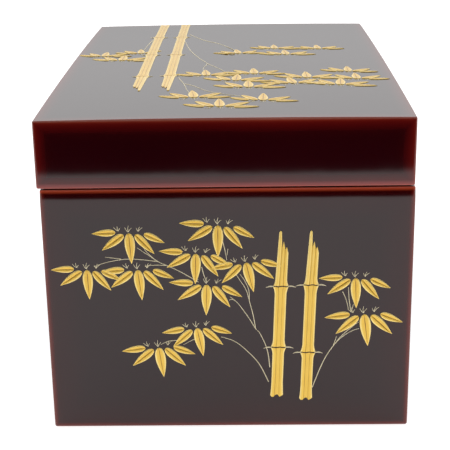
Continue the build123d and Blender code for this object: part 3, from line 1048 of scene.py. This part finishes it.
def makeLines(name, drawing, tree, cut):
    # stems, the tufts over every spray and the hairs at every node
    lines = []
    for heft, places in drawing["stems"]:
        lines.append(([heft * cut["stemHeft"]] * len(places), [Vector(p) for p in places]))
    for x, y, turn, size in drawing["sprays"]:
        for root, hairs in spray["tufts"]:
            start = Vector((x, y)) + turned(root, turn) * size
            for hair in hairs:
                way = turned(hair, turn) * size
                bow = Vector((-way.y, way.x)) * spray["bow"]
                lines.append(([spray["hair"]] * 3, [start, start + way * 0.5 + bow, start + way]))
    for place, turn, lean, nodes, _ in drawing["culms"]:
        slope, reach = math.tan(math.radians(lean)), drawing["tendril"]
        for node in nodes:
            for side in (-1, 1):
                root = side * cut["culmWidth"] * cut["tendrilRoot"]
                edge = Vector((node * slope + root, node))
                middle = edge + Vector((side * reach * 0.5, cut["tendrilRise"]))
                end = edge + Vector((side * reach, -cut["tendrilDrop"]))
                run = [Vector(place) + turned(p, turn) for p in (edge, middle, end)]
                lines.append((cut["tendrilHeft"], run))
    places, edges, hefts = [], [], []
    for thickness, run in lines:
        first = len(places)
        places += [(p.x, p.y, 0) for p in run]
        edges += [(first + k, first + k + 1) for k in range(len(run) - 1)]
        hefts += thickness
    mesh = bpy.data.meshes.new(name)
    mesh.from_pydata(places, edges, [])
    mesh.attributes.new("heft", "FLOAT", "POINT").data.foreach_set("value", hefts)
    return runTree(mesh, tree, {
        "Step": cut["lineStep"],
        "Thinning": cut["lineThinning"],
        "Sides": cut["lineSides"],
        "Gold": goldLine,
    }, name)


culmSection = (             # across, height and gold level over a length of culm
    (-1.0, 0.55, 0.9),
    (-0.9, 1.0, 1.0),
    (-0.74, 0.86, 0.6),
    (-0.42, 0.84, 0.5),
    (-0.34, 0.5, 0.05),
    (-0.26, 0.84, 0.5),
    (0.1, 0.88, 0.55),
    (0.26, 0.84, 0.5),
    (0.34, 0.5, 0.1),
    (0.42, 0.84, 0.5),
    (0.74, 0.86, 0.6),
    (0.9, 1.0, 1.0),
    (1.0, 0.55, 0.9),
)
# The torn top, from left to right: place across over the shoulders, place across and
# depth below the tip at the end, height and gold level.
tornSection = (
    (-1.0, -1.4, 0.7, 0.5, 0.9),
    (-0.86, -1.2, 0.4, 0.95, 1.0),
    (-0.6, -0.9, 0.0, 0.86, 0.62),
    (-0.34, -0.4, 0.5, 0.95, 0.9),
    (-0.24, -0.1, 7.0, 0.4, 0.05),
    (-0.12, 0.2, 5.7, 0.88, 0.55),
    (0.1, 0.5, 4.4, 0.9, 0.7),
    (0.28, 0.85, 6.1, 0.88, 0.55),
    (0.38, 1.2, 7.8, 0.4, 0.05),
    (0.48, 1.5, 7.25, 0.88, 0.55),
    (0.7, 1.8, 6.7, 0.9, 0.6),
    (0.88, 2.1, 8.0, 0.95, 0.9),
    (1.0, 2.4, 9.3, 0.5, 0.9),
)


def along(x, points):
    # height of an open line of points over a place across
    for (left, low), (right, high) in zip(points, points[1:]):
        if x <= right:
            share = max(0, (x - left) / (right - left))
            return low + (high - low) * share
    return points[-1][1]


def strip(work, level, rows, section, cut, shape):
    # a gilded strip through rows of places; the section gives each column's height
    loops = []
    for row in rows:
        loop = []
        for (x, y), (height, tone) in zip(row, section):
            v = work.verts.new((*shape(x, y), height * cut["relief"]))
            v[level] = tone
            loop.append(v)
        loops.append(loop)
    for lower, upper in zip(loops, loops[1:]):
        for k in range(len(section) - 1):
            face = work.faces.new((lower[k], lower[k + 1], upper[k + 1], upper[k]))
            face.smooth = True
    right = [loop[-1] for loop in loops[1:-1]]
    left = [loop[0] for loop in loops[-2:0:-1]]
    outline = loops[0] + right + loops[-1][::-1] + left
    closeRelief(work, outline, level, cut["sink"], cut)


def nodeWave(x, cut):
    return cut["nodeWave"] * math.sin(cut["waveTurn"] * x + cut["waveStart"])


def culmRow(half, y, wave, cut):
    # one row of places straight across a culm, waved beside a node
    return [(half * a, y + wave * nodeWave(half * a, cut)) for a, _, _ in culmSection]


flareShares = (0, 0.12, 0.3, 0.55, 1)
tornShares = (0.3, 0.6, 0.85, 1)


def flared(share, cut):
    # half width and strength of the wave, at a share of the way from a node to the waist
    half, waist = cut["culmWidth"] / 2, cut["culmWaist"] / 2
    return waist + (half - waist) * (1 - share) ** cut["flarePower"], max(0, 1 - 3 * share)


def flaredRows(low, high, cut, fromNode):
    # rows up one length of culm, wide at the nodes and drawn in between them
    flare = cut["culmFlare"] * (high - low)
    rows = []
    if fromNode:
        for share in flareShares:
            width, wave = flared(share, cut)
            rows.append(culmRow(width, low + flare * share, wave, cut))
    for share in middleShares:
        rows.append(culmRow(cut["culmWaist"] / 2, low + (high - low) * share, 0, cut))
    for share in flareShares[::-1]:
        width, wave = flared(share, cut)
        rows.append(culmRow(width, high - flare * share, wave, cut))
    return rows


def culmStrips(nodes, length, cut):
    # the lengths of one culm, from its cut foot to its torn top
    gap, waist = cut["nodeGap"] / 2, cut["culmWaist"] / 2
    plain = [(height, tone) for _, height, tone in culmSection]
    footHalf = cutFoot[-1][0]
    foot = [(footHalf * a, along(footHalf * a, cutFoot)) for a, _, _ in culmSection]
    rise = [((footHalf + waist) / 2 * a, cut["footRise"]) for a, _, _ in culmSection]
    yield [foot, rise] + flaredRows(0, nodes[0] - gap, cut, False), plain
    for low, high in zip(nodes, nodes[1:]):
        yield flaredRows(low + gap, high - gap, cut, True), plain
    low = nodes[-1] + gap
    flare = cut["culmFlare"] * (length - low)
    rows = []
    for share in flareShares:
        width, wave = flared(share, cut)
        row = [(width * c[0], low + flare * share) for c in tornSection]
        rows.append([(x, y + wave * nodeWave(x, cut)) for x, y in row])
    shoulder = rows[-1]
    for share in tornShares:
        row = []
        for (x, y), (_, tip, below, _, _) in zip(shoulder, tornSection):
            row.append((x + (tip - x) * share, y + (length - below - y) * share))
        rows.append(row)
    yield rows, [(c[3], c[4]) for c in tornSection]


def makeCulms(name, drawing, cut):
    work = bmesh.new()
    level = work.verts.layers.float.new("built")
    for place, turn, lean, nodes, length in drawing["culms"]:
        slope = math.tan(math.radians(lean))

        def shape(x, y):
            p = Vector(place) + turned((x + y * slope, y), turn)
            return p.x, p.y

        for rows, section in culmStrips(nodes, length, cut):
            strip(work, level, rows, section, cut, shape)
    mesh = bpy.data.meshes.new(name)
    work.to_mesh(mesh)
    work.free()
    mesh.materials.append(gold)
    return placed(name, mesh)


def finishGold(piece, surface, body, node):
    layDown(piece, surface)
    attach(piece, body)
    if node:
        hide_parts(node)


stamp, draw = stampTree(), strokeTree()
die = leafDie(goldCut)
frontSet = (onFront, "box_body")
lidSet = (onLid, "lid")
frontLeaves = makeLeaves("frontLeaves", frontDrawing, stamp, die, goldCut, 5)
lidLeaves = makeLeaves("lidLeaves", lidDrawing, stamp, die, goldCut, 11)
finishGold(frontLeaves, *frontSet, "front_gold_leaves")
finishGold(lidLeaves, *lidSet, "lid_gold_leaves")
finishGold(makeCulms("frontCulms", frontDrawing, goldCut), *frontSet, "front_gold_culms")
finishGold(makeCulms("lidCulms", lidDrawing, goldCut), *lidSet, "lid_gold_culms")
finishGold(makeLines("frontLines", frontDrawing, draw, goldCut), *frontSet, None)
finishGold(makeLines("lidLines", lidDrawing, draw, goldCut), *lidSet, None)
bpy.data.objects.remove(die)
print("gold bamboo")
